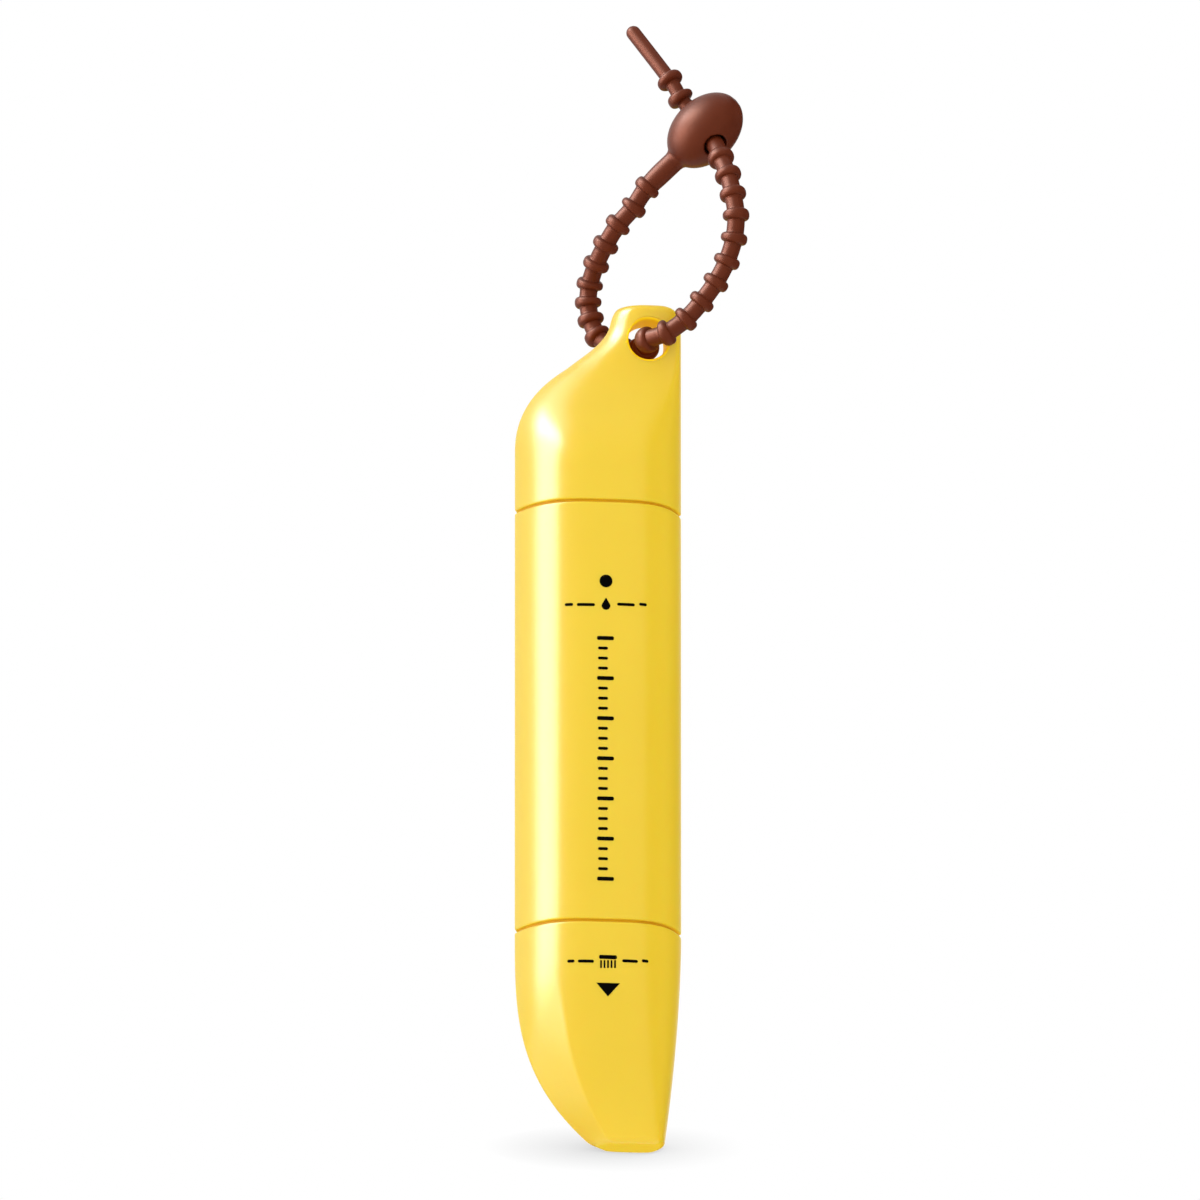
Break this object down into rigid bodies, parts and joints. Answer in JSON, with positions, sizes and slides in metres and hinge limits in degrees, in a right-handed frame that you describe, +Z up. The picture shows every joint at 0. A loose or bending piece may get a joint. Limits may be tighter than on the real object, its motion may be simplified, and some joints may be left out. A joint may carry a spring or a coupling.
{
  "type": "stain remover pen",
  "caption": "Two-ended stain remover pen: a sprung felt nib under the upper cap, a scrubbing brush under the lower cap, and a beaded loop strap through an eyelet.",
  "frame": {"origin": "on the foot of the brush cap, straight below the barrel's axis, which is the middle of the pen without its strap", "axes": "+Z up the pen from the brush cap to the lug, -Y out of the flat front face, +X to the side that the lug and the foot stand on"},
  "size_m": [0.0373, 0.0264, 0.1898],
  "materials": {
    "shell": "bright yellow moulded plastic, smooth semi-gloss",
    "inner_plastic": "white moulded plastic, satin",
    "valve_plastic": "light grey moulded plastic, satin",
    "seal": "black rubber, matt",
    "felt": "off-white pressed fibre",
    "spring_steel": "drawn steel wire",
    "bristle": "white nylon filament",
    "silicone": "brown silicone rubber, satin"
  },
  "bodies": {
    "pen_body": {"barrel": "shell", "remover_collar": "inner_plastic", "remover_seal_ring": "seal", "nozzle": "inner_plastic", "valve_seat": "seal", "valve_spring": "spring_steel", "reservoir_tube": "inner_plastic", "fibre_core": "felt", "reservoir_plug": "inner_plastic", "brush_collar": "inner_plastic", "brush_seal_ring": "seal", "brush_head": "inner_plastic", "bristles": "bristle"},
    "remover_cap_body": {"remover_cap": "shell", "remover_cap_liner": "inner_plastic", "strap_ball": "silicone", "strap_cord": "silicone"},
    "brush_cap_body": {"brush_cap": "shell", "brush_cap_liner": "inner_plastic"},
    "nib_body": {"nib": "felt", "valve_stem": "valve_plastic"}
  },
  "joints": [
    {"name": "remover_cap_pull", "type": "slide", "parent": "pen_body", "child": "remover_cap_body", "axis": [0, 0, 1], "range_m": [0, 0.03]},
    {"name": "brush_cap_pull", "type": "slide", "parent": "pen_body", "child": "brush_cap_body", "axis": [0, 0, -1], "range_m": [0, 0.028]},
    {"name": "nib_press", "type": "slide", "parent": "pen_body", "child": "nib_body", "axis": [0, 0, -1], "range_m": [0, 0.0015], "stiffness_N_per_m": 150, "deforming": ["valve_spring"]}
  ]
}
